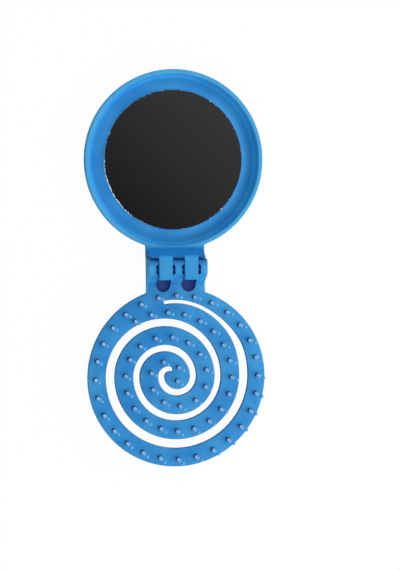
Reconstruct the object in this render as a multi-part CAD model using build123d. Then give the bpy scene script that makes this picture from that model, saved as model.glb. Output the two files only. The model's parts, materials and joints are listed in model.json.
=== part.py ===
from build123d import *
import os
from math import cos, degrees, hypot, pi, radians, sin, sqrt

# Compact round hairbrush that folds over a round pocket mirror, opened flat.
#
# Millimetres. X runs along the hinge axis, +Y points from the hinge to the mirror lid and
# -Y to the brush disc, +Z is the side that carries the pins and the mirror. The origin is
# on the surface that the lid's flat back rests on, straight below the middle of the hinge.

# ---------------------------------------------------------------- driving dimensions
disc_diameter = 67.0        # lid and brush disc alike
disc_gap = 14.0             # between the two discs' edges when opened flat

# Lid dish
back_thickness = 1.4        # moulded floor behind the mirror
dish_depth = 4.1            # rim down to the floor
rim_width = 1.6
rim_rounding = 0.45
wall_lean = 0.3             # the inner wall leans outwards by this much, up to the rim
foot_radius = 1.7           # hollow round between the wall and the floor
back_rounding = 3.0         # outside edge of the back

# Mirror
mirror_diameter = 52.0
mirror_thickness = 1.3
mirror_bevel = 0.25
adhesive_diameter = 47.0
adhesive_thickness = 0.6

# Brush plate
plate_thickness = 1.8
plate_rounding = 0.3
mark_diameter = 1.7         # ejector marks in the plate's face
mark_depth = 0.08
mark_angles = (174.8, -18.5, -95.3)             # marks among the outer ring of pins
band_marks = ((5.0, 104.0), (0.4, 226.0), (2.4, 43.0))   # drift out of the band, angle
core_mark = (3.2, 0.4)

# Spiral slot that makes the plate springy: the lower halves of its turns are half circles
# round its middle, and the upper halves join them.
ring_band_width = 6.6       # solid ring outside the first turn
first_slot_width = 3.3
slot_width = 2.4            # every later turn
slot_middle = (0.2, 0.3)    # from the disc's centre
slot_turns = 3
core_edge_radius = 4.8      # inner edge of the last turn
lead_shoulder_angle = 45.0  # a place on the slot's first arc, between its two ends
lead_end_angle = 98.5       # the slot's outer end
outer_shoulder_offset = 0.3 # how far the first arc's two edges drift out of their circles
outer_end_offset = 1.8
inner_shoulder_offset = 1.7
inner_end_offset = 3.8
hook_outer_radius = 3.8     # the slot's inner end curls back
hook_inner_radius = 2.0
hook_sweep = 100.0          # degrees that the curl turns

# Pins
pin_height = 12.0
pin_root_diameter = 1.8
pin_root_height = 3.2
pin_shaft_diameter = 1.05   # just above the conical root
pin_neck_diameter = 0.8     # just below the ball
pin_ball_diameter = 1.3
ring_pin_count = 28
ring_pin_inset = 2.85       # outer ring of pins, inside the disc's edge
pin_pitch = 6.38            # along the spiral band
pin_row_offset = 0.52       # the spiral rows' centre, towards +X
pin_lead_offset = 4.3       # the first row drifts outwards, as the slot's first arc does
pin_row_start = 118.8       # where the first row begins, in degrees
inner_row_radius = 6.0      # last, curled row
inner_row_end = 30.0        # where the last row ends, in degrees
centre_pin_drop = 1.3       # the middle pin, below the disc's centre

# Neck and hinge
neck_width = 22.0
neck_corner = 0.8           # hollow round where a neck meets its disc
closed_clearance = 0.35     # pin tips to mirror when folded
butt_gap = 0.3              # lid neck to brush knuckles, opened flat
stop_gap = 0.1              # lid neck to the stop foot, opened flat
stop_foot = 4.2             # hinge axis to the brush's stop foot
tongue_width = 5.2
tongue_spacing = 9.6        # middle to middle
tongue_reach = 3.8          # past the hinge axis
tongue_root = 0.9           # past the face of the lid's neck, into the ridge
tongue_rise = 1.6           # flat top above the hinge axis
tongue_drop = 1.35          # underside below the hinge axis
tongue_tip_radius = 1.1     # underside of the tip
tongue_edge = 0.25          # long upper edges
ridge_inset = 0.8           # the lid's cross ridge is this much narrower at each side
ridge_top = 0.25            # flat on the ridge
ridge_run = 2.95            # length of its slope
ridge_rounding = 0.2
side_clearance = 0.15       # tongue to knuckle at each side
trunnion_diameter = 1.8
trunnion_clearance = 0.05   # radial running fit
trunnion_grip = 0.75        # length inside the knuckle's bore
bore_end_clearance = 0.1
notch_length = 4.1          # relief beside each tongue, along Y
notch_waist = 2.9
notch_width = 0.85
pocket_reach = 8.55         # hinge axis to the pocket's round end
pocket_floor = 0.9
sweep_clearance = 2.6       # room under the tongue's tip as it turns in its pocket
pocket_wall = 1.1           # thick part of the neck beyond the pocket's end
knuckle_crown = 1.6         # flat crown reaches this far past the axis
knuckle_rounding = 2.2      # shoulder that faces the lid
knuckle_edge = 0.5          # long outer edges of the hinge block
slope_margin = 1.3          # the crown's slope ends this far past the lid neck's place

# ---------------------------------------------------------------- worked-out sizes
disc_radius = disc_diameter / 2
disc_offset = (disc_diameter + disc_gap) / 2   # hinge axis to each disc's centre
rim_z = back_thickness + dish_depth
mirror_recess = dish_depth - adhesive_thickness - mirror_thickness
axis_rise = (pin_height + closed_clearance - mirror_recess) / 2
axis_z = rim_z + axis_rise
tongue_top_z = axis_z + tongue_rise
lid_neck_face = stop_foot + stop_gap
knuckle_face = lid_neck_face - butt_gap
pocket_width = tongue_width + 2 * side_clearance
pocket_floor_z = axis_z - hypot(tongue_reach, tongue_rise) - sweep_clearance
neck_bottom_z = pocket_floor_z - pocket_floor   # both necks are flush underneath
plate_bottom_z = rim_z - plate_thickness
tongue_places = (-tongue_spacing / 2, tongue_spacing / 2)
ring_pin_radius = disc_radius - ring_pin_inset

lid_place = Pos(0, disc_offset, 0)
brush_place = Pos(0, -disc_offset, 0)
OVERCUT = 1.0               # cutters stand this far out of what they cut


def polar(radius, angle):
    """Point at a radius and an angle in degrees."""
    return (radius * cos(radians(angle)), radius * sin(radians(angle)))


def slab(sketch, bottom, top):
    """A flat plate of the sketch's shape between two heights."""
    return Pos(0, 0, bottom) * extrude(sketch, top - bottom)


def along_x(points, half_width, middle=0.0):
    """A prism along X whose end has the given (y, z) corners."""
    face = Plane.YZ * make_face(Polyline(*[(y, z) for y, z in points], close=True))
    return Pos(middle - half_width, 0, 0) * extrude(face, 2 * half_width, dir=(1, 0, 0))


def rod_along_x(radius, half_length, middle=0.0):
    """A round rod on the hinge axis."""
    rod = Cylinder(radius, 2 * half_length, rotation=(0, 90, 0))
    return Pos(middle, 0, axis_z) * rod


# ---------------------------------------------------------------- lid
def disc_with_neck(centre_y, face_y):
    """Outline of a disc and of the neck that leads from it to the hinge."""
    disc = Pos(0, centre_y) * Circle(disc_radius)
    neck = Pos(0, (centre_y + face_y) / 2) * Rectangle(neck_width, abs(centre_y - face_y))
    outline = disc + neck
    # From the hinge outwards: the end face's corners, then the hollow ones at the disc.
    corners = outline.vertices().group_by(Axis.Y, reverse=centre_y < face_y)
    return fillet(corners[1], neck_corner)


def dish_cavity():
    """The space inside the dish, from the floor up past the rim."""
    top_radius = disc_radius - rim_width
    foot_x = top_radius - wall_lean
    foot_z = back_thickness + foot_radius
    slant = foot_radius * (1 - cos(pi / 4))
    edges = [
        Line((0, 0, back_thickness), (foot_x - foot_radius, 0, back_thickness)),
        ThreePointArc(
            (foot_x - foot_radius, 0, back_thickness),
            (foot_x - slant, 0, back_thickness + slant),
            (foot_x, 0, foot_z),
        ),
        Line((foot_x, 0, foot_z), (top_radius, 0, rim_z)),
        Line((top_radius, 0, rim_z), (top_radius, 0, rim_z + OVERCUT)),
        Line((top_radius, 0, rim_z + OVERCUT), (0, 0, rim_z + OVERCUT)),
        Line((0, 0, rim_z + OVERCUT), (0, 0, back_thickness)),
    ]
    return lid_place * revolve(make_face(edges), Axis.Z)


def lid_body():
    """The round lid before its dish is hollowed out."""
    body = Cylinder(disc_radius, rim_z, align=(Align.CENTER, Align.CENTER, Align.MIN))
    body = fillet(body.edges().group_by(Axis.Z)[0], back_rounding)
    return lid_place * body


def ridge():
    """Cross ridge at the end of the lid's neck, from which the tongues reach out."""
    crest = lid_neck_face + ridge_top
    profile = [
        (lid_neck_face, neck_bottom_z),
        (lid_neck_face, tongue_top_z),
        (crest, tongue_top_z),
        (crest + ridge_run, rim_z),
        (crest + ridge_run, neck_bottom_z),
    ]
    bar = along_x(profile, neck_width / 2 - ridge_inset)
    ends = bar.edges().filter_by(Axis.X, reverse=True).group_by(Axis.Z)[-1]
    return fillet(ends, ridge_rounding)


def tongue(middle):
    """One tongue of the lid, with the trunnions on its two sides."""
    bar = along_x(
        [
            (-tongue_reach, axis_z - tongue_drop),
            (-tongue_reach, tongue_top_z),
            (lid_neck_face + tongue_root, tongue_top_z),
            (lid_neck_face + tongue_root, axis_z - tongue_drop),
        ],
        tongue_width / 2,
        middle,
    )
    tip = bar.edges().filter_by(Axis.X).group_by(Axis.Y)[0].sort_by(Axis.Z)[0]
    bar = fillet(tip, tongue_tip_radius)
    sides = bar.edges().filter_by(Axis.Y).group_by(Axis.Z)[-1]
    bar = fillet(sides, tongue_edge)
    stick_out = side_clearance + notch_width + trunnion_grip
    return bar + rod_along_x(trunnion_diameter / 2, tongue_width / 2 + stick_out, middle)


def lid_shell():
    """The whole lid moulding: dish, neck, ridge and tongues."""
    outline = disc_with_neck(disc_offset, lid_neck_face)
    root_half = neck_width / 2 + neck_corner
    root_y = disc_offset - sqrt(disc_radius**2 - root_half**2) + rim_width
    neck_zone = Pos(0, root_y / 2) * Rectangle(2 * root_half, root_y)
    neck = slab(outline & neck_zone, neck_bottom_z, rim_z)
    body = lid_body() + neck - dish_cavity()
    rims = body.edges().group_by(Axis.Z)[-1]
    body = fillet(rims, rim_rounding)
    body += ridge()
    for middle in tongue_places:
        body += tongue(middle)
    return body


def mirror_glass():
    """Round mirror with a fine bevel round its face."""
    glass = Cylinder(
        mirror_diameter / 2, mirror_thickness, align=(Align.CENTER, Align.CENTER, Align.MIN)
    )
    glass = chamfer(glass.edges().group_by(Axis.Z)[-1], mirror_bevel)
    return lid_place * Pos(0, 0, back_thickness + adhesive_thickness) * glass


def mirror_adhesive():
    """Double-sided pad that holds the mirror on the dish's floor."""
    pad = Cylinder(
        adhesive_diameter / 2, adhesive_thickness, align=(Align.CENTER, Align.CENTER, Align.MIN)
    )
    return lid_place * Pos(0, 0, back_thickness) * pad


# ---------------------------------------------------------------- spiral slot
def turn_radii():
    """Outer and inner edge radii of the lower half circles, from the outside in."""
    outer = disc_radius - ring_band_width
    inner = outer - first_slot_width
    pitch = (inner - core_edge_radius) / (slot_turns - 1)
    later = [inner - pitch * turn for turn in range(1, slot_turns)]
    return [(outer, inner)] + [(edge + slot_width, edge) for edge in later]


def band_radii():
    """Middle radii of the lower half of each band between two turns of the slot."""
    radii = turn_radii()
    return [(here[1] + after[0]) / 2 for here, after in zip(radii, radii[1:])]


def edge_chain(radii, shoulder_offset, end_offset, hook_radius):
    """One edge of the slot: its lead, its turns inwards and its curl, smoothly joined."""
    shoulder = polar(radii[0] + shoulder_offset, lead_shoulder_angle)
    end = polar(radii[0] + end_offset, lead_end_angle)
    lead = Spline((radii[0], 0), shoulder, end, tangents=[(0, 1), polar(1, lead_end_angle + 90)])
    edges = [lead]
    for here, after in zip(radii, [*radii[1:], None]):
        edges.append(ThreePointArc((here, 0), (0, -here), (-here, 0)))
        if after is not None:
            joined = (here + after) / 2
            edges.append(ThreePointArc((-here, 0), (joined - here, joined), (after, 0)))
    curl_x = hook_radius - radii[-1]
    half = polar(hook_radius, 180 - hook_sweep / 2)
    last = polar(hook_radius, 180 - hook_sweep)
    edges.append(
        ThreePointArc(
            (-radii[-1], 0), (curl_x + half[0], half[1]), (curl_x + last[0], last[1])
        )
    )
    return edges


def round_end(first, last, along):
    """Round end of the slot between two edges that both run out along the given direction."""
    reach = along * (first - last).length * 2 / 3
    return Bezier(first, first + reach, last + reach, last)


def slot_cutter():
    """The spiral slot as a solid, in the disc's own frame, through the plate."""
    outers, inners = zip(*turn_radii())
    outer = edge_chain(outers, outer_shoulder_offset, outer_end_offset, hook_outer_radius)
    inner = edge_chain(inners, inner_shoulder_offset, inner_end_offset, hook_inner_radius)
    ends = [
        round_end(outer[0] @ 1, inner[0] @ 1, outer[0] % 1),
        round_end(outer[-1] @ 1, inner[-1] @ 1, outer[-1] % 1),
    ]
    face = make_face(outer + inner + ends)
    return Pos(*slot_middle) * slab(face, plate_bottom_z - OVERCUT, rim_z + OVERCUT)


# ---------------------------------------------------------------- brush
def hinge_block():
    """Thick end of the brush's neck, with the crown that the knuckles are cut from."""
    crown_z = tongue_top_z
    slope_end = -(lid_neck_face + slope_margin)
    profile = [
        (knuckle_face, rim_z),
        (knuckle_face, crown_z),
        (-knuckle_crown, crown_z),
        (slope_end, rim_z),
        (slope_end, rim_z - plate_thickness / 2),
        (knuckle_face, rim_z - plate_thickness / 2),
    ]
    crown = along_x(profile, neck_width / 2)
    shoulder = crown.edges().filter_by(Axis.X).group_by(Axis.Z)[-1].sort_by(Axis.Y)[-1]
    crown = fillet(shoulder, knuckle_rounding)
    sides = crown.faces().filter_by(Axis.X)
    rims = [
        edge
        for side in sides
        for edge in side.edges()
        if edge.center().Z > rim_z + knuckle_edge and edge.center().Y < knuckle_face - 1e-3
    ]
    crown = fillet(rims, knuckle_edge)
    under_end = -(pocket_reach + pocket_wall)
    step = plate_bottom_z - neck_bottom_z
    under = along_x(
        [
            (stop_foot, rim_z),
            (stop_foot, neck_bottom_z),
            (under_end, neck_bottom_z),
            (under_end - step, plate_bottom_z),
            (under_end - step, rim_z),
        ],
        neck_width / 2,
    )
    keel = under.edges().filter_by(Axis.Y).group_by(Axis.Z)[0]
    return crown + fillet(keel, knuckle_edge)


def knuckle_gap(middle):
    """Everything cut away round one tongue: pocket, relief notches and trunnion bores."""
    round_radius = pocket_width / 2
    straight = pocket_reach - round_radius + stop_foot + OVERCUT
    outline = Pos(middle, stop_foot + OVERCUT - straight / 2) * Rectangle(pocket_width, straight)
    outline += Pos(middle, round_radius - pocket_reach) * Circle(round_radius)
    gap = slab(outline, pocket_floor_z, tongue_top_z + OVERCUT)
    mouth = pocket_width / 2
    notch = make_face(
        Polyline(
            (middle - mouth - notch_width, -notch_waist / 2),
            (middle - mouth, -notch_length / 2),
            (middle + mouth, -notch_length / 2),
            (middle + mouth + notch_width, -notch_waist / 2),
            (middle + mouth + notch_width, notch_waist / 2),
            (middle + mouth, notch_length / 2),
            (middle - mouth, notch_length / 2),
            (middle - mouth - notch_width, notch_waist / 2),
            close=True,
        )
    )
    gap += slab(notch, axis_z - notch_length / 2, tongue_top_z + OVERCUT)
    bore_radius = trunnion_diameter / 2 + trunnion_clearance
    bore_half = mouth + notch_width + trunnion_grip + bore_end_clearance
    return gap + rod_along_x(bore_radius, bore_half, middle)


def mark_places():
    """Where the moulding tool's ejectors left their marks, in the disc's own frame."""
    band = band_radii()[0]
    places = [polar(ring_pin_radius, angle) for angle in mark_angles]
    places += [polar(band + drift, angle) for drift, angle in band_marks]
    places.append(core_mark)
    return places


def brush_plate():
    """The whole brush moulding without its pins: disc, spiral slot, neck and hinge block."""
    plate = slab(disc_with_neck(-disc_offset, knuckle_face), plate_bottom_z, rim_z)
    plate -= brush_place * slot_cutter()
    rims = plate.edges().group_by(Axis.Z)[-1] + plate.edges().group_by(Axis.Z)[0]
    plate = fillet(rims, plate_rounding)
    plate += hinge_block()
    for middle in tongue_places:
        plate -= knuckle_gap(middle)
    for x, y in mark_places():
        mark = Cylinder(mark_diameter / 2, 2 * mark_depth)
        plate -= brush_place * Pos(x, y, rim_z) * mark
    return plate


# ---------------------------------------------------------------- pins
def pin():
    """One tapered pin with a ball tip, standing on the plate at the origin."""
    ball = pin_ball_diameter / 2
    neck = pin_neck_diameter / 2
    ball_z = pin_height - ball
    neck_z = ball_z - sqrt(ball**2 - neck**2)
    edges = [
        Line((0, 0, 0), (pin_root_diameter / 2, 0, 0)),
        Line((pin_root_diameter / 2, 0, 0), (pin_shaft_diameter / 2, 0, pin_root_height)),
        Line((pin_shaft_diameter / 2, 0, pin_root_height), (neck, 0, neck_z)),
        ThreePointArc((neck, 0, neck_z), (ball, 0, ball_z), (0, 0, pin_height)),
        Line((0, 0, pin_height), (0, 0, 0)),
    ]
    return revolve(make_face(edges), Axis.Z)


def pin_rows():
    """Arcs that the spiral rows of pins follow: centre x, radius, first and last angle."""
    bands = band_radii()
    rows = [(pin_row_offset - pin_lead_offset, bands[0] + pin_lead_offset, pin_row_start, 0.0)]
    for here, after in zip(bands, bands[1:] + [None]):
        rows.append((pin_row_offset, here, 0.0, -180.0))
        if after is not None:
            joined = (here + after) / 2
            rows.append((pin_row_offset + joined - here, joined, 180.0, 0.0))
    curl_x = pin_row_offset - bands[-1] + inner_row_radius
    rows.append((curl_x, inner_row_radius, 180.0, inner_row_end))
    return rows


def places_along(rows, pitch):
    """Evenly spaced places along the rows, one list for each row."""
    found = []
    travelled = 0.0
    count = 0
    for centre_x, radius, first, last in rows:
        length = radius * radians(first - last)
        places = []
        while count * pitch <= travelled + length:
            turned = degrees((count * pitch - travelled) / radius)
            x, y = polar(radius, first - turned)
            places.append((centre_x + x, y))
            count += 1
        travelled += length
        found.append(places)
    return found


def pins_at(places):
    """Pins at places in the disc's own frame, as separate solids."""
    model = pin()
    stand = brush_place * Pos(0, 0, rim_z)
    return Compound(children=[stand * Pos(x, y, 0) * model for x, y in places])


def pin_groups():
    """Every group of pins by its node's name."""
    ring = [polar(ring_pin_radius, 90 + 360 * n / ring_pin_count) for n in range(ring_pin_count)]
    rows = places_along(pin_rows(), pin_pitch)
    groups = {"pins_outer_ring": ring}
    turns = zip(rows[0:-1:2], rows[1::2])
    for number, (upper, lower) in enumerate(turns, 1):
        groups[f"pins_spiral_turn_{number}"] = upper + lower
    groups["pins_centre"] = rows[-1] + [(0.0, -centre_pin_drop)]
    return groups


# ---------------------------------------------------------------- writing the parts
def main():
    """Build every node and write it as a STEP file."""
    os.makedirs("parts", exist_ok=True)
    nodes = {
        "lid_shell": lid_shell(),
        "mirror_glass": mirror_glass(),
        "mirror_adhesive": mirror_adhesive(),
        "brush_plate": brush_plate(),
    }
    for name, places in pin_groups().items():
        nodes[name] = pins_at(places)
    for name, solid in nodes.items():
        export_step(solid, f"parts/{name}.step")
        print(name, len(solid.solids()), "solids", round(solid.volume, 1), "mm3")


main()
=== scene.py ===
"""Looks of a compact round hairbrush that folds over a pocket mirror, opened flat.

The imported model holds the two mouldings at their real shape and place. This script dresses
them, models the mirror, its foam pad and the brush pins, and sets up the studio.
Lengths are in metres, in the model's own frame: X runs along the hinge axis, the mirror lid
lies at +Y, the brush at -Y and +Z is the side that carries the pins and the mirror.
"""

from __future__ import annotations

import json
import logging
import math
from dataclasses import dataclass
from typing import Callable, Mapping, Optional, Sequence, Tuple, Union

import bmesh
import bpy
from mathutils import Matrix, Vector

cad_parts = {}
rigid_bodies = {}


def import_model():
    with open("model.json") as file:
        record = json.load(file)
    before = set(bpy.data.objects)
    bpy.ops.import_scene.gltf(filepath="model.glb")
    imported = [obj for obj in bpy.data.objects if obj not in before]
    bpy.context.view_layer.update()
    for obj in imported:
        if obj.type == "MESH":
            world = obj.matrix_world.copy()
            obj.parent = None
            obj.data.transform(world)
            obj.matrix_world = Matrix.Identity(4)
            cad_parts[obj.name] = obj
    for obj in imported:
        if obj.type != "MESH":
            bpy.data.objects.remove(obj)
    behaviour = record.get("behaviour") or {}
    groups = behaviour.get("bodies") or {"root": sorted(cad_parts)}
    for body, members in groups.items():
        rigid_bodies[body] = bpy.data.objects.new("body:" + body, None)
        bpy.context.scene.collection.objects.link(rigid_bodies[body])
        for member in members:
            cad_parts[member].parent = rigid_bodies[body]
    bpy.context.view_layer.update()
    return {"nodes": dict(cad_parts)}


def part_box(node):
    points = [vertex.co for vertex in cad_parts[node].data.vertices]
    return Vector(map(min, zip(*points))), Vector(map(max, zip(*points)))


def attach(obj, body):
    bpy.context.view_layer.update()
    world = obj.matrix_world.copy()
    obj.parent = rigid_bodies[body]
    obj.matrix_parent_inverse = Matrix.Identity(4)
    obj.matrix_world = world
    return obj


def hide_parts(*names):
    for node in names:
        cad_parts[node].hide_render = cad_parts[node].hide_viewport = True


LOG = logging.getLogger("folding_brush")
MM = 0.001

Colour = Tuple[float, float, float]
Point = Tuple[float, float, float]
Span = Tuple[float, float]      # where a soft step starts and ends
BLACK: Colour = (0.0, 0.0, 0.0)


def from_screen(red: int, green: int, blue: int) -> Colour:
    """Turn a screen colour into the linear colour that a shader takes.

    Args:
        red: Red from 0 to 255.
        green: Green from 0 to 255.
        blue: Blue from 0 to 255.

    Returns:
        The three linear channels.
    """

    def linear(channel: int) -> float:
        """One channel's linear value."""
        share = channel / 255
        return share / 12.92 if share <= 0.04045 else ((share + 0.055) / 1.055) ** 2.4

    return (linear(red), linear(green), linear(blue))


# ------------------------------------------------------------------------ shader maths
class Signal:
    """A socket of a shader tree that Python expressions can add, scale and compare."""

    def __init__(self, tree: "ShaderTree", socket: bpy.types.NodeSocket) -> None:
        """Wrap a socket of the tree."""
        self.tree = tree
        self.socket = socket

    def __add__(self, other: "Term") -> "Signal":
        """This plus the other."""
        return self.tree.maths("ADD", self, other)

    def __radd__(self, other: "Term") -> "Signal":
        """The other plus this."""
        return self.tree.maths("ADD", other, self)

    def __sub__(self, other: "Term") -> "Signal":
        """This less the other."""
        return self.tree.maths("SUBTRACT", self, other)

    def __rsub__(self, other: "Term") -> "Signal":
        """The other less this."""
        return self.tree.maths("SUBTRACT", other, self)

    def __mul__(self, other: "Term") -> "Signal":
        """This times the other."""
        return self.tree.maths("MULTIPLY", self, other)

    def __rmul__(self, other: "Term") -> "Signal":
        """The other times this."""
        return self.tree.maths("MULTIPLY", other, self)

    def __truediv__(self, other: "Term") -> "Signal":
        """This divided by the other."""
        return self.tree.maths("DIVIDE", self, other)

    def __pow__(self, power: "Term") -> "Signal":
        """This raised to a power."""
        return self.tree.maths("POWER", self, power)

    def __abs__(self) -> "Signal":
        """This without its sign."""
        return self.tree.maths("ABSOLUTE", self)

    def rise(self, low: float, high: float) -> "Signal":
        """Rise smoothly from 0 to 1 while this goes from low to high.

        Args:
            low: Where the result is still 0.
            high: Where the result has reached 1. It may lie below low.

        Returns:
            The smooth step, held at its ends.
        """
        settings = {"interpolation_type": "SMOOTHSTEP"}
        sockets = {"Value": self, "From Min": low, "From Max": high}
        return self.tree.node("ShaderNodeMapRange", settings, sockets)["Result"]


Term = Union[Signal, float]
Input = Union[Signal, float, Sequence[float]]


class Outputs:
    """The outputs of a node that was just made, by name or identifier."""

    def __init__(self, tree: "ShaderTree", node: bpy.types.Node) -> None:
        """Wrap a node of the tree."""
        self.tree = tree
        self.node = node

    def __getitem__(self, name: str) -> Signal:
        """The named output as a signal."""
        return Signal(self.tree, find_socket(self.node.outputs, name))


def find_socket(sockets: Sequence[bpy.types.NodeSocket], name: str) -> bpy.types.NodeSocket:
    """Find a socket by its identifier or, failing that, by its name.

    Args:
        sockets: A node's inputs or outputs.
        name: The identifier or name wanted.

    Returns:
        The first socket that has it.

    Raises:
        KeyError: If no socket has it.
    """
    for wanted in ("identifier", "name"):
        for socket in sockets:
            if getattr(socket, wanted) == name:
                return socket
    raise KeyError(name)


class ShaderTree:
    """A shader's node tree, emptied and filled again through one node-making method."""

    def __init__(self, tree: bpy.types.NodeTree) -> None:
        """Take over a node tree and empty it."""
        self.tree = tree
        self.tree.nodes.clear()

    def node(
        self,
        kind: str,
        settings: Optional[Mapping[str, object]] = None,
        sockets: Optional[Mapping[str, Input]] = None,
    ) -> Outputs:
        """Add a node, apply its settings and then fill its sockets.

        Args:
            kind: The node's type.
            settings: Properties by name. A ramp's "stops" are (position, colour) pairs.
            sockets: Signals to link or plain values to set, by the socket's name.

        Returns:
            The node's outputs.
        """
        made = self.tree.nodes.new(kind)
        for name, value in (settings or {}).items():
            if name == "stops":
                fill_ramp(made.color_ramp, value)
            else:
                setattr(made, name, value)
        for name, value in (sockets or {}).items():
            socket = find_socket(made.inputs, name)
            if isinstance(value, Signal):
                self.tree.links.new(value.socket, socket)
            elif isinstance(value, tuple) and socket.type == "RGBA":
                socket.default_value = (*value, 1.0)
            else:
                socket.default_value = value
        return Outputs(self, made)

    def maths(self, operation: str, first: Term, second: Term = 0.0) -> Signal:
        """Add a Math node.

        Args:
            operation: The Math node's operation.
            first: Its first term.
            second: Its second term, which some operations leave out.

        Returns:
            The result.
        """
        made = self.tree.nodes.new("ShaderNodeMath")
        made.operation = operation
        for socket, term in zip(made.inputs, (first, second)):
            if isinstance(term, Signal):
                self.tree.links.new(term.socket, socket)
            else:
                socket.default_value = term
        return Signal(self, made.outputs[0])

    def blend(self, share: Term, first: Input, second: Input) -> Signal:
        """Mix two colours.

        Args:
            share: How much of the second colour shows, from 0 to 1.
            first: The colour at a share of 0.
            second: The colour at a share of 1.

        Returns:
            The mixed colour.
        """
        sockets = {"Factor_Float": share, "A_Color": first, "B_Color": second}
        return self.node("ShaderNodeMix", {"data_type": "RGBA"}, sockets)["Result_Color"]

    def place(self) -> "Place":
        """Where a point of the surface lies on the object."""
        vector = self.node("ShaderNodeTexCoord")["Object"]
        axes = self.node("ShaderNodeSeparateXYZ", None, {"Vector": vector})
        return Place(self, vector, axes["X"] / MM, axes["Y"] / MM, axes["Z"] / MM)

    def noise(self, vector: Signal, size: float, detail: float = 2.0) -> Signal:
        """Soft random mottling.

        Args:
            vector: The surface's place.
            size: Size of its patches, in millimetres.
            detail: How many finer layers it has.

        Returns:
            Values round 0.5.
        """
        sockets = {"Vector": vector, "Scale": 1 / (size * MM), "Detail": detail}
        return self.node("ShaderNodeTexNoise", None, sockets)["Fac"]

    def bump(self, height: Signal, depth: float, under: Optional[Signal] = None) -> Signal:
        """Raise the surface's normals by a height pattern.

        Args:
            height: The pattern, from 0 to 1.
            depth: What 1 stands for, in millimetres.
            under: A coarser bump that this one lies on.

        Returns:
            The bumped normal.
        """
        sockets: dict[str, Input] = {"Height": height, "Distance": depth * MM, "Strength": 1.0}
        if under is not None:
            sockets["Normal"] = under
        return self.node("ShaderNodeBump", None, sockets)["Normal"]


def fill_ramp(ramp: bpy.types.ColorRamp, stops: Sequence[Tuple[float, Colour]]) -> None:
    """Give a colour ramp its stops.

    Args:
        ramp: A new node's ramp, with its two first stops.
        stops: Positions from 0 to 1 with their linear colours, in order.
    """
    while len(ramp.elements) < len(stops):
        ramp.elements.new(1.0)
    for element, (position, colour) in zip(ramp.elements, stops):
        element.position = position
        element.color = (*colour, 1.0)


@dataclass(frozen=True)
class Place:
    """Where a point of the surface lies: the raw vector, and its axes in millimetres."""

    tree: ShaderTree
    vector: Signal
    x: Signal
    y: Signal
    z: Signal

    def distance(self, x: float, y: float) -> Signal:
        """Distance from an upright axis.

        Args:
            x: The axis's place along X, in millimetres.
            y: Its place along Y, in millimetres.

        Returns:
            The distance in millimetres.
        """
        across = self.x - x
        along = self.y - y
        return (across * across + along * along) ** 0.5


# ---------------------------------------------------------------------------- finishes
@dataclass(frozen=True)
class Finish:
    """What every finish has: a name, and a material made from it on demand."""

    name: str

    def material(self) -> bpy.types.Material:
        """Make the material.

        Returns:
            A new material with this finish's nodes.
        """
        made = bpy.data.materials.new(self.name)
        made.use_nodes = True
        tree = ShaderTree(made.node_tree)
        sockets = self.surface(tree)
        shader = tree.node("ShaderNodeBsdfPrincipled", None, sockets)["BSDF"]
        tree.node("ShaderNodeOutputMaterial", None, {"Surface": shader})
        return made

    def surface(self, tree: ShaderTree) -> Mapping[str, Input]:
        """Sockets of the shader, by name."""
        raise NotImplementedError


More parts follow.
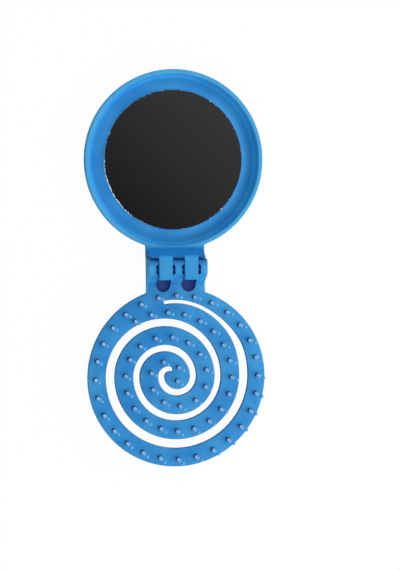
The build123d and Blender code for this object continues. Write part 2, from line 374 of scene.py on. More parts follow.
@dataclass(frozen=True)
class MouldedPlastic(Finish):
    """Glossy blue polypropylene as it comes out of the mould."""

    colour: Colour = from_screen(27, 130, 197)
    # Also the colour of the painted highlights on the lid's rim and the brush block.
    pale: Colour = from_screen(64, 162, 214)
    roughness: float = 0.42
    rub_roughness: float = 0.08
    matt_roughness: float = 0.3
    ior: float = 1.49
    gloss: float = 0.36
    flow_size: float = 14.0
    flow_contrast: Span = (0.35, 0.68)
    flow_share: float = 0.5
    rub_size: float = 3.0
    rub_contrast: Span = (0.45, 0.75)
    peel_size: float = 0.9
    peel_depth: float = 0.0015
    gate_dimple: Span = (2.4, 2.1)
    gate_stub: Span = (0.7, 0.5)
    gate_stub_share: float = 0.8
    gate_depth: float = 0.12

    def surface(self, tree: ShaderTree) -> Mapping[str, Input]:
        """Flow marks in the colour, and a faint orange peel and rub marks in the gloss."""
        place = tree.place()
        flow = tree.noise(place.vector, self.flow_size, 3.0).rise(*self.flow_contrast)
        rubbed = tree.noise(place.vector, self.rub_size, 4.0).rise(*self.rub_contrast)
        rough = self.roughness + self.rub_roughness * rubbed
        peel = tree.bump(tree.noise(place.vector, self.peel_size), self.peel_depth)
        return {
            "Base Color": self.tint(tree, place, flow),
            "Roughness": rough + self.matt_roughness * self.matt(place),
            "Normal": self.relief(tree, place, peel),
            "Emission Color": self.glow(tree, place),
            "Emission Strength": 1.0,
            "IOR": self.ior,
            "Specular IOR Level": self.gloss,
        }

    def tint(self, tree: ShaderTree, place: Place, flow: Signal) -> Signal:
        """The colour over the surface.

        Args:
            tree: The material's tree.
            place: Where the surface lies.
            flow: Flow marks, from 0 to 1.

        Returns:
            The colour.
        """
        return tree.blend(self.flow_share * flow, self.colour, self.pale)

    def matt(self, place: Place) -> Term:
        """Where the mould is blasted rather than polished.

        Args:
            place: Where the surface lies.

        Returns:
            1 there.
        """
        return 0.0

    def relief(self, tree: ShaderTree, place: Place, peel: Signal) -> Signal:
        """The normals over the surface.

        Args:
            tree: The material's tree.
            place: Where the surface lies.
            peel: The normals with the orange peel alone.

        Returns:
            The normals with any other marks.
        """
        return peel

    def glow(self, tree: ShaderTree, place: Place) -> Input:
        """Painted glow that the surface gives off, though it is no lamp.

        Args:
            tree: The material's tree.
            place: Where the surface lies.

        Returns:
            Its colour, black where there is no painted glow.
        """
        return BLACK

    def gate_mark(self, place: Place, x: float, y: float, under: float) -> Signal:
        """Height of the round dimple and stub that the injection gate left underneath.

        Args:
            place: Where the surface lies.
            x: The gate's place along X, in millimetres.
            y: Its place along Y.
            under: The height below which the mark shows.

        Returns:
            Its height, from 0 in the dimple to 1 outside it.
        """
        radius = place.distance(x, y)
        stub = self.gate_stub_share * radius.rise(*self.gate_stub)
        dimple = radius.rise(*self.gate_dimple) * (1 - stub)
        return 1 - dimple * place.z.rise(under + 0.1, under)


@dataclass(frozen=True)
class HingeShade:
    """Where the hinge's pockets and notches lie, in millimetres, and their painted shade and glow.
    """

    # Painted shade in the pockets, the notches and on the trunnions.
    painted_shade: Colour = from_screen(18, 53, 124)
    # Painted glow that lifts the pockets' painted shade a little.
    pocket_painted_glow: Colour = (0.004, 0.01, 0.045)
    middle_x: float = 4.8
    pocket_half: float = 2.75
    pocket_front: float = 4.0
    pocket_back: float = -8.7
    pocket_floor: float = 3.85
    mouth_fade: float = 0.6
    plate_z: float = 5.5
    crown_z: float = 12.175
    slope_fall: float = 1.1
    notch_half: float = 3.62
    notch_waist: float = 1.45
    notch_taper: float = 1.42
    axis_z: float = 10.575
    trunnion_radius: float = 0.9
    tongue_half: float = 2.6
    crest_y: float = 4.6

    def across(self, place: Place) -> Signal:
        """How far a point lies to the side of the nearer tongue's middle."""
        return abs(abs(place.x) - self.middle_x)

    def pockets(self, place: Place) -> Signal:
        """The walls and floors of the pockets, and of the notches beside them.

        Args:
            place: Where the surface lies.

        Returns:
            1 inside them.
        """
        across = self.across(place)
        beside = across.rise(self.pocket_half + 0.08, self.pocket_half + 0.02)
        behind = place.y.rise(self.pocket_back - 0.1, self.pocket_back)
        front = place.y.rise(self.pocket_front, self.pocket_front - self.mouth_fade)
        slope = self.crown_z - self.slope_fall + place.y * self.slope_fall
        under = place.tree.maths("MINIMUM", slope, self.crown_z - 0.2)
        under = place.tree.maths("MAXIMUM", under, self.plate_z - 0.15)
        pocket = beside * behind * front * (under - place.z).rise(0.0, 0.3)
        pocket = pocket * place.z.rise(self.pocket_floor - 0.4, self.pocket_floor - 0.1)
        past_waist = place.tree.maths("MAXIMUM", abs(place.y) - self.notch_waist, 0.0)
        narrowing = across + self.notch_taper * past_waist
        notch = narrowing.rise(self.notch_half + 0.06, self.notch_half)
        notch = notch * place.z.rise(self.crown_z - 0.15, self.crown_z - 0.4)
        notch = notch * place.z.rise(self.plate_z + 0.5, self.plate_z + 1.0)
        return place.tree.maths("MAXIMUM", pocket, notch)

    def crest(self, place: Place) -> Signal:
        """The narrow crest of the lid's ridge between and beside the tongues.

        Args:
            place: Where the surface lies.

        Returns:
            1 on it.
        """
        across = self.across(place)
        beside = across.rise(self.tongue_half - 0.05, self.tongue_half + 0.02)
        narrow = place.y.rise(self.pocket_front, self.pocket_front + 0.2)
        narrow = narrow * place.y.rise(self.crest_y + 0.35, self.crest_y)
        return beside * narrow * place.z.rise(self.crown_z - 1.0, self.crown_z - 0.5)

    def tongue_edges(self, place: Place) -> Signal:
        """Height of the rounding along the tongues' upper edges.

        Args:
            place: Where the surface lies.

        Returns:
            Its height, from 0 past the edge to 1 where the rounding ends.
        """
        across = self.across(place)
        free = place.y.rise(self.crest_y, self.crest_y - 0.3)
        return 1 - across.rise(self.tongue_half - 0.4, self.tongue_half) * free

    def trunnions(self, place: Place) -> Signal:
        """The trunnions where they cross the notches.

        Args:
            place: Where the surface lies.

        Returns:
            1 on them.
        """
        across = self.across(place)
        height = place.z - self.axis_z
        radius = (place.y * place.y + height * height) ** 0.5
        outside = across.rise(self.tongue_half, self.tongue_half + 0.04)
        return outside * radius.rise(self.trunnion_radius + 0.1, self.trunnion_radius + 0.05)


@dataclass(frozen=True)
class LidPlastic(MouldedPlastic):
    """The lid's plastic with painted light and shade, and turning marks in the dish's floor."""

    rim_z: float = 5.5
    floor_z: float = 1.4
    centre_y: float = 40.5
    ring_pitch: float = 0.9
    ring_depth: float = 0.004
    tongue_rounding: float = 0.12
    rim_inside: Span = (31.2, 32.6)
    rim_outside: Span = (34.4, 33.4)
    # Painted highlight along the rim.
    rim_highlight_share: float = 0.7
    cove_inside: Span = (26.5, 29.5)
    cove_outside: Span = (31.2, 30.4)
    # Painted shade in the cove at the foot of the dish's wall.
    cove_shade_share: float = 0.35
    wall_inside: Span = (30.2, 31.0)
    wall_outside: Span = (32.4, 32.2)
    # Painted glow on the dish's wall.
    wall_glow_share: float = 0.7
    slope_front: Span = (4.4, 4.7)
    slope_back: Span = (8.6, 7.8)
    # The slope's painted shade eases towards its right end.
    slope_lit_end: Span = (6.5, 10.0)
    slope_lit_share: float = 0.45
    # Painted glow on the floor round the mirror.
    mirror_edge_glow: Span = (28.2, 26.2)
    # Painted shade on the ridge's crest.
    shaded: Colour = from_screen(16, 88, 156)
    # Painted shade in the cove.
    painted_shade: Colour = from_screen(10, 112, 180)
    # Painted shade on the ridge's slope behind the tongues.
    behind: Colour = from_screen(0, 134, 214)
    # Colour of the painted glow on the wall and round the mirror.
    painted_glow: Colour = (0.004, 0.065, 0.16)
    hinge: HingeShade = HingeShade()

    def tint(self, tree: ShaderTree, place: Place, flow: Signal) -> Signal:
        """A painted highlight on the rim; painted shade in the cove, on the slope, crest and
        trunnions.
        """
        body = super().tint(tree, place, flow)
        radius = place.distance(0.0, self.centre_y)
        around = radius.rise(*self.rim_inside) * radius.rise(*self.rim_outside)
        # Painted highlight along the rim.
        rim_highlight = around * place.z.rise(self.rim_z - 1.6, self.rim_z - 0.2)
        body = tree.blend(self.rim_highlight_share * rim_highlight, body, self.pale)
        # Painted shade in the cove.
        body = tree.blend(self.cove_shade_share * self.cove(place), body, self.painted_shade)
        # Painted shade on the ridge's slope, eased at its right end.
        lit = self.slope_lit_share * place.x.rise(*self.slope_lit_end)
        body = tree.blend(self.slope(place) * (1 - lit), body, self.behind)
        # Painted shade on the crest between the tongues.
        body = tree.blend(self.hinge.crest(place), body, self.shaded)
        # Painted shade on the trunnions where they cross the notches.
        return tree.blend(self.hinge.trunnions(place), body, self.hinge.painted_shade)

    def cove(self, place: Place) -> Signal:
        """The hollow round at the foot of the dish's wall: 1 there."""
        radius = place.distance(0.0, self.centre_y)
        return radius.rise(*self.cove_inside) * radius.rise(*self.cove_outside)

    def wall(self, place: Place) -> Signal:
        """The dish's wall, where a painted glow goes: 1 there."""
        radius = place.distance(0.0, self.centre_y)
        wall = radius.rise(*self.wall_inside) * radius.rise(*self.wall_outside)
        return wall * place.z.rise(self.rim_z - 0.1, self.rim_z - 0.4)

    def slope(self, place: Place) -> Signal:
        """The slope of the ridge behind the tongues: 1 there."""
        slope = place.y.rise(*self.slope_back) * place.z.rise(self.rim_z - 0.3, self.rim_z)
        return slope * place.y.rise(*self.slope_front)

    def on_floor(self, place: Place) -> Signal:
        """The dish's floor, and anything as low: 1 there."""
        return place.z.rise(self.floor_z + 0.5, self.floor_z)

    def matt(self, place: Place) -> Signal:
        """The cove, the wall and the slope."""
        return self.cove(place) + self.wall(place) + self.slope(place)

    def glow(self, tree: ShaderTree, place: Place) -> Input:
        """Painted glow on the dish's wall, and on the floor round the mirror where its shadow would
        fall.
        """
        radius = place.distance(0.0, self.centre_y)
        beside = radius.rise(*self.mirror_edge_glow) * self.on_floor(place)
        soft_painted_glow = tree.blend(self.wall_glow_share * self.wall(place), BLACK, self.painted_glow)
        return tree.blend(beside, soft_painted_glow, self.painted_glow)

    def relief(self, tree: ShaderTree, place: Place, peel: Signal) -> Signal:
        """Turned rings on the dish's floor, soft tongue edges and the gate's mark on the back."""
        radius = place.distance(0.0, self.centre_y)
        rings = tree.maths("SINE", radius * (math.tau / self.ring_pitch)) * 0.5 + 0.5
        turned = tree.bump(rings * self.on_floor(place), self.ring_depth, peel)
        turned = tree.bump(self.hinge.tongue_edges(place), self.tongue_rounding, turned)
        gate = self.gate_mark(place, 0.0, self.centre_y, 0.1)
        return tree.bump(gate, self.gate_depth, turned)


@dataclass(frozen=True)
class BrushPlastic(MouldedPlastic):
    """The brush plate's plastic, with painted light and shade: darker in its slot, darkest in the
    pockets.
    """

    # Painted shade on the walls of the spiral slot.
    wall: Colour = from_screen(4, 78, 138)
    # Painted shade on the block's top near the axis.
    shoulder_painted_shade: Colour = from_screen(6, 92, 166)
    # Painted glow on the slot's walls and on the block's ends.
    soft_painted_glow: Colour = (0.02, 0.08, 0.13)
    centre_y: float = -40.5
    top_z: float = 5.5
    under_z: float = 3.7
    gate_x: float = 0.6
    gate_y: float = -41.0
    slope_y: Span = (-1.4, -1.8)
    block_ends: Span = (8.4, 10.2)
    block_share: float = 0.45
    shoulder_y: Span = (0.2, 3.2)
    shoulder_share: float = 0.6
    slot_outside: Span = (32.9, 32.5)
    slot_glow_share: float = 0.4
    lit_ends: Span = (10.35, 10.8)
    lit_from_y: Span = (-9.0, -7.0)
    hinge: HingeShade = HingeShade()

    def tint(self, tree: ShaderTree, place: Place, flow: Signal) -> Signal:
        """Painted shade on the slot's walls, near the axis and in the pockets; a painted highlight
        on the block.
        """
        body = super().tint(tree, place, flow)
        # Painted shade on the slot's walls.
        body = tree.blend(self.cut(place), body, self.wall)
        # Painted highlight on the block's slope and ends.
        block = place.z.rise(self.top_z + 0.3, self.top_z + 1.2)
        slope = place.y.rise(*self.slope_y)
        ends = abs(place.x).rise(*self.block_ends)
        block_painted_highlight = self.block_share * block * tree.maths("MAXIMUM", slope, ends)
        body = tree.blend(block_painted_highlight, body, self.pale)
        # Painted shade on the block's top near the axis.
        shaded = self.shoulder_share * block * place.y.rise(*self.shoulder_y)
        body = tree.blend(shaded, body, self.shoulder_painted_shade)
        # Painted shade in the hinge's pockets and notches.
        return tree.blend(self.hinge.pockets(place), body, self.hinge.painted_shade)

    def cut(self, place: Place) -> Signal:
        """The walls of the spiral slot: 1 on them."""
        inside = place.distance(0.0, self.centre_y).rise(*self.slot_outside)
        below = place.z.rise(self.top_z - 0.05, self.top_z - 0.2)
        return inside * below * place.z.rise(self.under_z, self.under_z + 0.2)

    def glow(self, tree: ShaderTree, place: Place) -> Input:
        """Painted glow on the slot's walls, in the pockets and on the block's ends."""
        ends = abs(place.x).rise(*self.lit_ends) * place.y.rise(*self.lit_from_y)
        glow = tree.blend(ends, BLACK, self.soft_painted_glow)
        glow = tree.blend(self.slot_glow_share * self.cut(place), glow, self.soft_painted_glow)
        # Painted glow in the pockets.
        return tree.blend(self.hinge.pockets(place), glow, self.hinge.pocket_painted_glow)

    def relief(self, tree: ShaderTree, place: Place, peel: Signal) -> Signal:
        """The gate's mark under the middle of the disc."""
        gate = self.gate_mark(place, self.gate_x, self.gate_y, self.under_z + 0.05)
        return tree.bump(gate, self.gate_depth, peel)


@dataclass(frozen=True)
class PinPlastic(MouldedPlastic):
    """The same plastic on the pins, with painted shade at the foot and a painted highlight along
    the shaft.
    """

    foot_z: float = 5.5
    whitish_from: float = 1.7
    whitish_to: float = 9.5
    whitish_fade: float = 2.0
    streak_size: float = 0.35
    streak_contrast: Span = (0.5, 0.62)
    # Painted shade at the pin's foot.
    dark: Colour = from_screen(6, 60, 120)
    # Whitish painted highlight along the lower shaft.
    whitish_highlight: Colour = from_screen(164, 196, 232)
    streak: Colour = from_screen(104, 156, 212)
    # Lighter blue towards the ball: a painted highlight.
    tip: Colour = from_screen(78, 162, 220)
    # Painted glow on the whitish stretch, and a dimmer one above it.
    painted_glow: Colour = (0.12, 0.19, 0.27)
    soft_painted_glow: Colour = (0.008, 0.042, 0.08)

    def tint(self, tree: ShaderTree, place: Place, flow: Signal) -> Signal:
        """Painted shade at the foot, a whitish painted highlight low on the shaft, a lighter blue
        at the ball.
        """
        height = place.z - self.foot_z
        streaks = tree.noise(place.vector, self.streak_size).rise(*self.streak_contrast)
        # Whitish painted highlight in streaks along the lower shaft.
        shaft = tree.blend(streaks, self.whitish_highlight, self.streak)
        # Lighter blue towards the ball as a painted highlight.
        clear = height.rise(self.whitish_to - self.whitish_fade, self.whitish_to)
        tipped = tree.blend(clear, shaft, self.tip)
        # Painted shade at the foot.
        foot = height.rise(self.whitish_from + 0.3, self.whitish_from - 0.4)
        return tree.blend(foot, tipped, self.dark)

    def glow(self, tree: ShaderTree, place: Place) -> Input:
        """Painted glow along the whitish stretch of the shaft, and a dimmer one above it."""
        height = place.z - self.foot_z
        above = height.rise(self.whitish_from - 0.2, self.whitish_from + 0.5)
        whitish_highlight = height.rise(self.whitish_to, self.whitish_to - self.whitish_fade)
        return tree.blend(above, BLACK, tree.blend(whitish_highlight, self.soft_painted_glow, self.painted_glow))


@dataclass(frozen=True)
class Silvering(Finish):
    """The mirror's face: bright silver behind clean glass, with a breath of dust."""

    silver: Colour = (0.86, 0.87, 0.88)
    dusty: Colour = (0.6, 0.62, 0.64)
    dust_share: float = 0.1

    def surface(self, tree: ShaderTree) -> Mapping[str, Input]:
        """A near perfect mirror, a little softer where dust and wiping marks lie."""
        place = tree.place()
        dust = tree.noise(place.vector, 0.35).rise(0.66, 0.8)
        wiped = tree.noise(place.vector, 9.0, 3.0).rise(0.4, 0.7)
        return {
            "Base Color": tree.blend(self.dust_share * dust, self.silver, self.dusty),
            "Metallic": 1.0,
            "Roughness": 0.015 + 0.02 * wiped + 0.08 * dust,
        }


@dataclass(frozen=True)
class GroundGlass(Finish):
    """The fine bevel round the mirror's face, with white grinding chips that act as painted glints.
    """

    centre_y: float = 40.5
    glint_way: Tuple[float, float] = (-0.94, -0.34)
    glint_reach: Span = (21.5, 25.0)
    dark: Colour = (0.006, 0.035, 0.065)
    chip_glint: Colour = (0.85, 0.88, 0.9)

    def surface(self, tree: ShaderTree) -> Mapping[str, Input]:
        """Dark glass with small white chips as painted glints, most of them towards the lower left.
        """
        place = tree.place()
        chips = tree.noise(place.vector, 0.6, 3.0)
        way_x, way_y = self.glint_way
        glint_side = (way_x * place.x + way_y * (place.y - self.centre_y)).rise(*self.glint_reach)
        # Painted glints: white chips, more of them towards the lower left.
        glint = (chips + 0.12 * glint_side).rise(0.6, 0.66)
        return {
            "Base Color": tree.blend(glint, self.dark, self.chip_glint),
            "Metallic": 0.3 - 0.3 * glint,
            "Roughness": 0.5 - 0.25 * glint,
            "Normal": tree.bump(chips, 0.15),
        }


@dataclass(frozen=True)
class GlassEdge(Finish):
    """The mirror's cut edge: pale glass with a painted glow that is brightest on the lower left."""

    centre_y: float = 40.5
    glow_way: Tuple[float, float] = (-0.82, -0.57)
    glow_reach: Span = (20.5, 24.5)
    glass: Colour = (0.42, 0.66, 0.78)
    cut: Colour = (0.72, 0.86, 0.92)
    dim: Colour = (0.03, 0.13, 0.24)
    bright: Colour = (0.6, 0.78, 0.88)

    def surface(self, tree: ShaderTree) -> Mapping[str, Input]:
        """Pale green-blue glass with upright cutting marks, and a painted glow along the edge."""
        place = tree.place()
        cuts = tree.noise(place.vector, 0.4, 3.0)
        way_x, way_y = self.glow_way
        glow_side = (way_x * place.x + way_y * (place.y - self.centre_y)).rise(*self.glow_reach)
        # Painted glow along the edge, brightest towards the lower left.
        painted_glow = tree.blend(cuts.rise(0.35, 0.65) * glow_side, self.dim, self.bright)
        return {
            "Base Color": tree.blend(cuts, self.glass, self.cut),
            "Roughness": 0.25 + 0.2 * cuts,
            "Normal": tree.bump(cuts, 0.05),
            "Emission Color": painted_glow,
            "Emission Strength": 1.0,
        }


@dataclass(frozen=True)
class BackPaint(Finish):
    """Grey lacquer over the silver on the mirror's back."""

    dark: Colour = (0.11, 0.11, 0.12)
    pale: Colour = (0.16, 0.16, 0.17)

    def surface(self, tree: ShaderTree) -> Mapping[str, Input]:
        """Slightly rolled, dull grey paint."""
        rolled = tree.noise(tree.place().vector, 1.4, 3.0)
        return {
            "Base Color": tree.blend(rolled, self.dark, self.pale),
            "Roughness": 0.6,
            "Normal": tree.bump(rolled, 0.02),
        }


@dataclass(frozen=True)
class FoamPad(Finish):
    """Closed-cell foam of the double-sided pad."""

    foam: Colour = (0.72, 0.72, 0.69)
    cell: Colour = (0.45, 0.45, 0.43)

    def surface(self, tree: ShaderTree) -> Mapping[str, Input]:
        """Fine cells in the colour and in the height."""
        cells = tree.noise(tree.place().vector, 0.18, 1.0)
        return {
            "Base Color": tree.blend(0.5 * cells, self.foam, self.cell),
            "Roughness": 0.9,
            "Normal": tree.bump(cells, 0.05),
        }


# --------------------------------------------------------------------- modelling bench
class Bench:
    """The modelling bench: steps in edit mode that the pieces share."""

    FLAT = 0.999

    @staticmethod
    def clear() -> None:
        """Leave edit mode and deselect everything."""
        if bpy.context.object is not None and bpy.context.object.mode != "OBJECT":
            bpy.ops.object.mode_set(mode="OBJECT")
        bpy.ops.object.select_all(action="DESELECT")

    @staticmethod
    def pick_edges(piece: bpy.types.Object, wanted: Callable[[Vector, Vector], bool]) -> None:
        """Select edges in edit mode.

        Args:
            piece: The piece that is being edited.
            wanted: Takes an edge's two ends and says whether to select it.
        """
        bpy.ops.mesh.select_all(action="DESELECT")
        mesh = bmesh.from_edit_mesh(piece.data)
        for edge in mesh.edges:
            if wanted(edge.verts[0].co, edge.verts[1].co):
                edge.select_set(True)
        bmesh.update_edit_mesh(piece.data)

    @staticmethod
    def pick_faces(piece: bpy.types.Object, wanted: Callable[[Vector, Vector], bool]) -> None:
        """Select faces in edit mode.

        Args:
            piece: The piece that is being edited.
            wanted: Takes a face's centre and normal and says whether to select it.
        """
        bpy.ops.mesh.select_all(action="DESELECT")
        mesh = bmesh.from_edit_mesh(piece.data)
        for face in mesh.faces:
            if wanted(face.calc_center_median(), face.normal):
                face.select_set(True)
        bmesh.update_edit_mesh(piece.data)

    @staticmethod
    def paint(piece: bpy.types.Object, finish: Finish) -> None:
        """Give the selected faces a finish of their own.

        Args:
            piece: The piece that is being edited.
            finish: Their finish.
        """
        piece.data.materials.append(finish.material())
        piece.active_material_index = len(piece.data.materials) - 1
        bpy.ops.object.material_slot_assign()

    @staticmethod
    def settle(piece: bpy.types.Object, name: str, smooth_below: float = 40.0) -> None:
        """Finish a piece: outward normals, smooth shading and its place in its mesh.

        Args:
            piece: The piece, in edit or object mode.
            name: Its name.
            smooth_below: Edges that turn by fewer degrees than this look smooth.
        """
        Bench.clear()
        piece.select_set(True)
        bpy.context.view_layer.objects.active = piece
        bpy.ops.object.transform_apply(location=True, rotation=True, scale=True)
        bpy.ops.object.mode_set(mode="EDIT")
        bpy.ops.mesh.select_all(action="SELECT")
        bpy.ops.mesh.remove_doubles(threshold=0.001 * MM)
        bpy.ops.mesh.normals_make_consistent(inside=False)
        bpy.ops.object.mode_set(mode="OBJECT")
        bpy.ops.object.shade_smooth_by_angle(angle=math.radians(smooth_below))
        piece.name = piece.data.name = name
        Bench.clear()


@dataclass(frozen=True)
class RoundPlate:
    """Place and size of a flat round piece, read from its node in the frame."""

    middle: Vector
    radius: float
    thickness: float

    @classmethod
    def of(cls, node: str) -> "RoundPlate":
        """Read a node's box.

        Args:
            node: The node's name.

        Returns:
            The round plate that fills the box.
        """
        low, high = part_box(node)
        return cls((low + high) / 2, (high.x - low.x) / 2, high.z - low.z)

    def blank(self, sides: int) -> bpy.types.Object:
        """Add the plain disc that a piece is shaped from, and enter edit mode.

        Args:
            sides: How many sides its outline has.

        Returns:
            The disc, with its place applied.
        """
        Bench.clear()
        bpy.ops.mesh.primitive_cylinder_add(
            vertices=sides, radius=self.radius, depth=self.thickness, location=self.middle
        )
        bpy.ops.object.transform_apply(location=True, rotation=False, scale=False)
        bpy.ops.object.mode_set(mode="EDIT")
        bpy.ops.mesh.select_mode(type="EDGE")
        return bpy.context.object

    def bevel(self, piece: bpy.types.Object, top: bool, width: float, steps: int) -> None:
        """Bevel the disc's upper or lower rim.

        Args:
            piece: The disc, in edit mode.
            top: Whether it is the upper rim.
            width: Width of the bevel.
            steps: How many facets it has.
        """
        height = self.middle.z + (0.5 if top else -0.5) * self.thickness
        near = 0.01 * MM
        Bench.pick_edges(piece, lambda a, b: abs(a.z - height) < near and abs(b.z - height) < near)
        bpy.ops.mesh.bevel(offset=width, segments=steps, affect="EDGES")


# ---------------------------------------------------------------------------- mirror lid
@dataclass(frozen=True)
class MirrorLid:
    """The lid moulding with the mirror on its foam pad."""

    mirror_sides: int = 192
    mirror_bevel: float = 0.25 * MM
    seam_bevel: float = 0.08 * MM
    grinding: float = 0.035 * MM
    pad_sides: int = 96
    pad_rounding: float = 0.18 * MM
    pad_unevenness: float = 0.12 * MM

    def dress_shell(self, shell: bpy.types.Object) -> bpy.types.Object:
        """Finish the lid moulding.

        Args:
            shell: Its node.

        Returns:
            The same node.
        """
        shell.data.materials.clear()
        shell.data.materials.append(LidPlastic("lid_plastic").material())
        return shell

    def model_mirror(self) -> bpy.types.Object:
        """Cut, bevel and silver the round mirror.

        Returns:
            The mirror.
        """
        plate = RoundPlate.of("mirror_glass")
        mirror = plate.blank(self.mirror_sides)
        plate.bevel(mirror, True, self.mirror_bevel, 2)
        plate.bevel(mirror, False, self.seam_bevel, 1)
        top = plate.middle.z + plate.thickness / 2
        Bench.pick_edges(mirror, lambda a, b: a.z < top and b.z < top and a.z > plate.middle.z)
        bpy.ops.transform.vertex_random(offset=self.grinding, uniform=0.0, normal=0.0, seed=5)
        bpy.ops.mesh.select_mode(type="FACE")
        Bench.pick_faces(mirror, lambda centre, normal: normal.z > Bench.FLAT)
        Bench.paint(mirror, Silvering("mirror_silvering"))
        Bench.pick_faces(mirror, lambda centre, normal: 0.2 < normal.z <= Bench.FLAT)
        Bench.paint(mirror, GroundGlass("ground_bevel"))
        Bench.pick_faces(mirror, lambda centre, normal: abs(normal.z) <= 0.2)
        Bench.paint(mirror, GlassEdge("cut_glass_edge"))
        Bench.pick_faces(mirror, lambda centre, normal: normal.z < -0.2)
        Bench.paint(mirror, BackPaint("mirror_back_lacquer"))
        Bench.settle(mirror, "round_mirror", 4.0)
        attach(mirror, "lid")
        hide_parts("mirror_glass")
        return mirror

    def model_pad(self) -> bpy.types.Object:
        """Punch the foam pad, with its soft uneven edge.

        Returns:
            The pad.
        """
        plate = RoundPlate.of("mirror_adhesive")
        pad = plate.blank(self.pad_sides)
        plate.bevel(pad, True, self.pad_rounding, 2)
        plate.bevel(pad, False, self.pad_rounding, 2)
        middle = plate.middle.z
        inner = 0.9 * plate.thickness / 2
        Bench.pick_edges(pad, lambda a, b: abs(a.z - middle) < inner and abs(b.z - middle) < inner)
        bpy.ops.transform.vertex_random(offset=self.pad_unevenness, uniform=0.0, normal=0.0, seed=9)
        bpy.ops.mesh.select_mode(type="FACE")
        bpy.ops.mesh.select_all(action="SELECT")
        Bench.paint(pad, FoamPad("foam_pad"))
        Bench.settle(pad, "foam_pad", 60.0)
        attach(pad, "lid")
        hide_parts("mirror_adhesive")
        return pad

    def build(self, nodes: Mapping[str, bpy.types.Object]) -> Sequence[bpy.types.Object]:
        """Build the whole lid.

        Args:
            nodes: The frame's nodes.

        Returns:
            Its pieces.
        """
        return [self.dress_shell(nodes["lid_shell"]), self.model_pad(), self.model_mirror()]


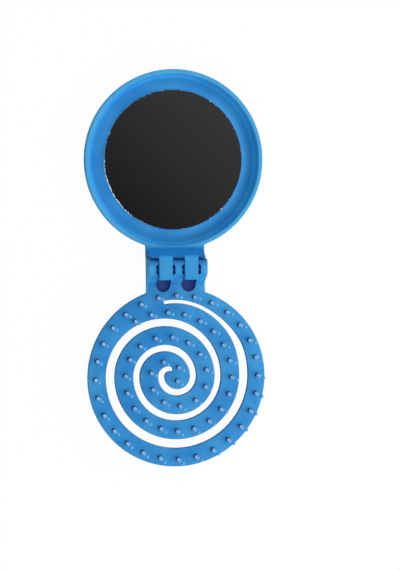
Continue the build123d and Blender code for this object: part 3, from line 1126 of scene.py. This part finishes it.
# --------------------------------------------------------------------------- brush plate
@dataclass(frozen=True)
class SpringBrush:
    """The brush moulding: its spring plate and the groups of ball-tipped pins on it."""

    sides: int = 14
    root_radius: float = 0.9 * MM
    cone_height: float = 3.2 * MM
    shaft_radius: float = 0.525 * MM
    neck_radius: float = 0.4 * MM
    ball_radius: float = 0.65 * MM
    sunk: float = 0.05 * MM
    cone_steps: int = 4
    cone_power: float = 1.3
    shaft_steps: int = 2
    ball_steps: int = 5
    ball_top: float = math.radians(72)
    groups: Tuple[str, ...] = (
        "pins_outer_ring",
        "pins_spiral_turn_1",
        "pins_spiral_turn_2",
        "pins_centre",
    )

    def dress_plate(self, plate: bpy.types.Object) -> bpy.types.Object:
        """Finish the spring plate and its hinge knuckles.

        Args:
            plate: Its node.

        Returns:
            The same node.
        """
        plate.data.materials.clear()
        plate.data.materials.append(BrushPlastic("brush_plastic").material())
        return plate

    def profile(self, height: float) -> Sequence[Tuple[float, float]]:
        """Radius and height of each ring of a pin, from its foot up.

        Args:
            height: The pin's height over the plate.

        Returns:
            Pairs of radius and height.
        """
        ball_z = height - self.ball_radius
        neck_angle = math.acos(self.neck_radius / self.ball_radius)
        neck_z = ball_z - self.ball_radius * math.sin(neck_angle)
        rings = []
        for step in range(1, self.cone_steps + 1):
            share = step / self.cone_steps
            spread = (self.root_radius - self.shaft_radius) * (1 - share) ** self.cone_power
            rings.append((self.shaft_radius + spread, self.cone_height * share))
        for step in range(1, self.shaft_steps + 1):
            share = step / self.shaft_steps
            radius = self.shaft_radius + (self.neck_radius - self.shaft_radius) * share
            rings.append((radius, self.cone_height + (neck_z - self.cone_height) * share))
        for step in range(1, self.ball_steps + 1):
            angle = -neck_angle + (neck_angle + self.ball_top) * step / self.ball_steps
            rise = self.ball_radius * math.sin(angle)
            rings.append((self.ball_radius * math.cos(angle), ball_z + rise))
        return rings

    def model_pin(self, height: float) -> bpy.types.Object:
        """Draw one pin up out of a disc, ring by ring, and close it with a pole.

        Args:
            height: The pin's height over the plate.

        Returns:
            The pin, standing at the origin.
        """
        Bench.clear()
        bpy.ops.mesh.primitive_circle_add(
            vertices=self.sides,
            radius=self.root_radius,
            fill_type="NGON",
            location=(0, 0, -self.sunk),
        )
        bpy.ops.object.transform_apply(location=True, rotation=False, scale=False)
        pin = bpy.context.object
        bpy.ops.object.mode_set(mode="EDIT")
        bpy.ops.mesh.select_mode(type="FACE")
        bpy.ops.mesh.select_all(action="SELECT")
        radius, low = self.root_radius, -self.sunk
        for next_radius, top in [*self.profile(height), (0.0, height)]:
            bpy.ops.mesh.extrude_region_move(TRANSFORM_OT_translate={"value": (0, 0, top - low)})
            scale = next_radius / radius
            bpy.ops.transform.resize(value=(scale, scale, 1), center_override=(0, 0, top))
            radius, low = next_radius, top
        bpy.ops.mesh.select_all(action="SELECT")
        bpy.ops.mesh.remove_doubles(threshold=0.001 * MM)
        bpy.ops.mesh.normals_make_consistent(inside=False)
        Bench.clear()
        return pin

    def plant(
        self, pin: bpy.types.Object, node: bpy.types.Object, finish: bpy.types.Material
    ) -> bpy.types.Object:
        """Plant copies of a pin where a group's pins stand.

        Args:
            pin: The pin to copy.
            node: The group's node, whose apexes say where its pins stand.
            finish: The pins' material.

        Returns:
            The group as one piece.
        """
        low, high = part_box(node.name)
        near = 0.001 * MM
        tops = [vertex.co for vertex in node.data.vertices if high.z - vertex.co.z < near]
        apexes = {(round(top.x, 6), round(top.y, 6)) for top in tops}
        for x, y in sorted(apexes):
            Bench.clear()
            pin.select_set(True)
            bpy.context.view_layer.objects.active = pin
            bpy.ops.object.duplicate()
            bpy.context.object.location = (x, y, low.z)
            bpy.context.object["planted"] = True
        Bench.clear()
        planted = [copy for copy in bpy.context.scene.objects if copy.get("planted")]
        for copy in planted:
            copy.select_set(True)
            del copy["planted"]
        bpy.context.view_layer.objects.active = planted[0]
        bpy.ops.object.join()
        group = bpy.context.object
        group.data.materials.append(finish)
        Bench.settle(group, f"{node.name}_moulded", 60.0)
        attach(group, "brush")
        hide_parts(node.name)
        return group

    def build(self, nodes: Mapping[str, bpy.types.Object]) -> Sequence[bpy.types.Object]:
        """Build the whole brush.

        Args:
            nodes: The frame's nodes.

        Returns:
            Its pieces.
        """
        pieces = [self.dress_plate(nodes["brush_plate"])]
        low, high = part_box(self.groups[0])
        pin = self.model_pin(high.z - low.z)
        finish = PinPlastic("pin_plastic").material()
        pieces += [self.plant(pin, nodes[name], finish) for name in self.groups]
        bpy.data.objects.remove(pin)
        return pieces


# ------------------------------------------------------------------------------ studio
@dataclass(frozen=True)
class Studio:
    """Camera, floor and light."""

    eye: Point = (-0.12159, 0.03401, 0.7055)
    aim: Point = (0.001586, -0.006043, 0.0055)
    roll: float = math.radians(0.678)
    lens: float = 120.82
    shift_x: float = 0.035
    floor_size: float = 6.0
    paper: Colour = (0.9, 0.9, 0.9)
    backlight: float = 0.96
    key_place: Point = (0.55, -0.25, 0.45)
    key_size: float = 0.5
    key_power: float = 1.6
    tent_light: float = 2.75
    tent_tilt: Tuple[float, float] = (0.19, 0.98)
    tent_opening: Span = (0.985, 0.93)
    tent_foot: Span = (0.1, 0.45)
    front_base: float = 0.48
    front_rise: float = 0.45
    front_way: Tuple[float, float] = (0.84, -0.54)
    ceiling_rise: float = 0.344
    ceiling_base: float = 0.0262
    ceiling_least: float = 0.006

    def camera(self) -> bpy.types.Object:
        """Place the camera above the hinge, a little to the left."""
        data = bpy.data.cameras.new("studio_camera")
        data.lens = self.lens
        data.shift_x = self.shift_x
        forward = (Vector(self.aim) - Vector(self.eye)).normalized()
        right = forward.cross(Vector((math.sin(self.roll), math.cos(self.roll), 0))).normalized()
        up = right.cross(forward)
        camera = bpy.data.objects.new("studio_camera", data)
        turn = Matrix((right, up, -forward)).transposed().to_4x4()
        camera.matrix_world = Matrix.Translation(self.eye) @ turn
        bpy.context.scene.collection.objects.link(camera)
        bpy.context.scene.camera = camera
        return camera

    def floor(self) -> bpy.types.Object:
        """Lay a plain pale floor under the object."""
        bpy.ops.mesh.primitive_plane_add(size=self.floor_size)
        floor = bpy.context.object
        floor.name = "studio_floor"
        material = bpy.data.materials.new("pale_floor")
        material.use_nodes = True
        tree = ShaderTree(material.node_tree)
        paper = tree.node("ShaderNodeBsdfDiffuse", None, {"Color": self.paper})["BSDF"]
        glow = tree.node("ShaderNodeEmission", None, {"Color": (1.0, 1.0, 1.0), "Strength": 1.0})
        shader = tree.node("ShaderNodeMixShader", None, {"Fac": self.backlight})
        tree.tree.links.new(paper.socket, shader.node.inputs[1])
        tree.tree.links.new(glow["Emission"].socket, shader.node.inputs[2])
        tree.node("ShaderNodeOutputMaterial", None, {"Surface": shader["Shader"]})
        floor.data.materials.append(material)
        floor.visible_glossy = False
        return floor

    def light(self, name: str, place: Point, size: float, power: float) -> bpy.types.Object:
        """Hang a soft square light that faces the object.

        Args:
            name: The light's name.
            place: Its middle.
            size: The side of its square.
            power: Its power in watts.

        Returns:
            The light's object.
        """
        data = bpy.data.lights.new(name, "AREA")
        data.shape = "SQUARE"
        data.size = size
        data.energy = power
        lamp = bpy.data.objects.new(name, data)
        lamp.location = place
        lamp.rotation_euler = Vector(place).to_track_quat("Z", "Y").to_euler()
        bpy.context.scene.collection.objects.link(lamp)
        return lamp

    def surroundings(self) -> None:
        """Light the room by a ring of soft light, brightest at the front right.

        The mirror reflects the dark opening over the object, which grows a little lighter
        towards one corner.
        """
        world = bpy.data.worlds.new("studio_room")
        bpy.context.scene.world = world
        world.use_nodes = True
        tree = ShaderTree(world.node_tree)
        vector = tree.node("ShaderNodeTexCoord")["Generated"]
        axes = tree.node("ShaderNodeSeparateXYZ", None, {"Vector": vector})
        tilt_x, tilt_z = self.tent_tilt
        overhead = tilt_x * axes["X"] + tilt_z * axes["Z"]
        tent = overhead.rise(*self.tent_opening) * axes["Z"].rise(*self.tent_foot)
        front_x, front_y = self.front_way
        front = front_x * axes["X"] + front_y * axes["Y"]
        front = self.front_base + self.front_rise * front
        slant = self.ceiling_rise * (axes["X"] + axes["Y"]) - self.ceiling_base
        ceiling = tree.maths("MAXIMUM", slant, self.ceiling_least)
        strength = ceiling + self.tent_light * front * tent
        background = tree.node("ShaderNodeBackground", None, {"Strength": strength})
        tree.node("ShaderNodeOutputWorld", None, {"Surface": background["Background"]})

    def build(self) -> None:
        """Set up the whole studio."""
        bpy.context.scene.view_settings.view_transform = "Standard"
        self.camera()
        self.floor()
        self.surroundings()
        self.light("key_light", self.key_place, self.key_size, self.key_power)


# ------------------------------------------------------------------------------- build
def main() -> None:
    """Load the frame, build each sub-assembly round it, and set up the studio."""
    logging.basicConfig(level=logging.INFO, format="%(name)s: %(message)s")
    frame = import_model()
    for assembly in (MirrorLid(), SpringBrush()):
        for piece in assembly.build(frame["nodes"]):
            faces = len(piece.data.polygons)
            LOG.info("%s: %s, %d faces", type(assembly).__name__, piece.name, faces)
    Studio().build()


if __name__ == "__main__":
    main()
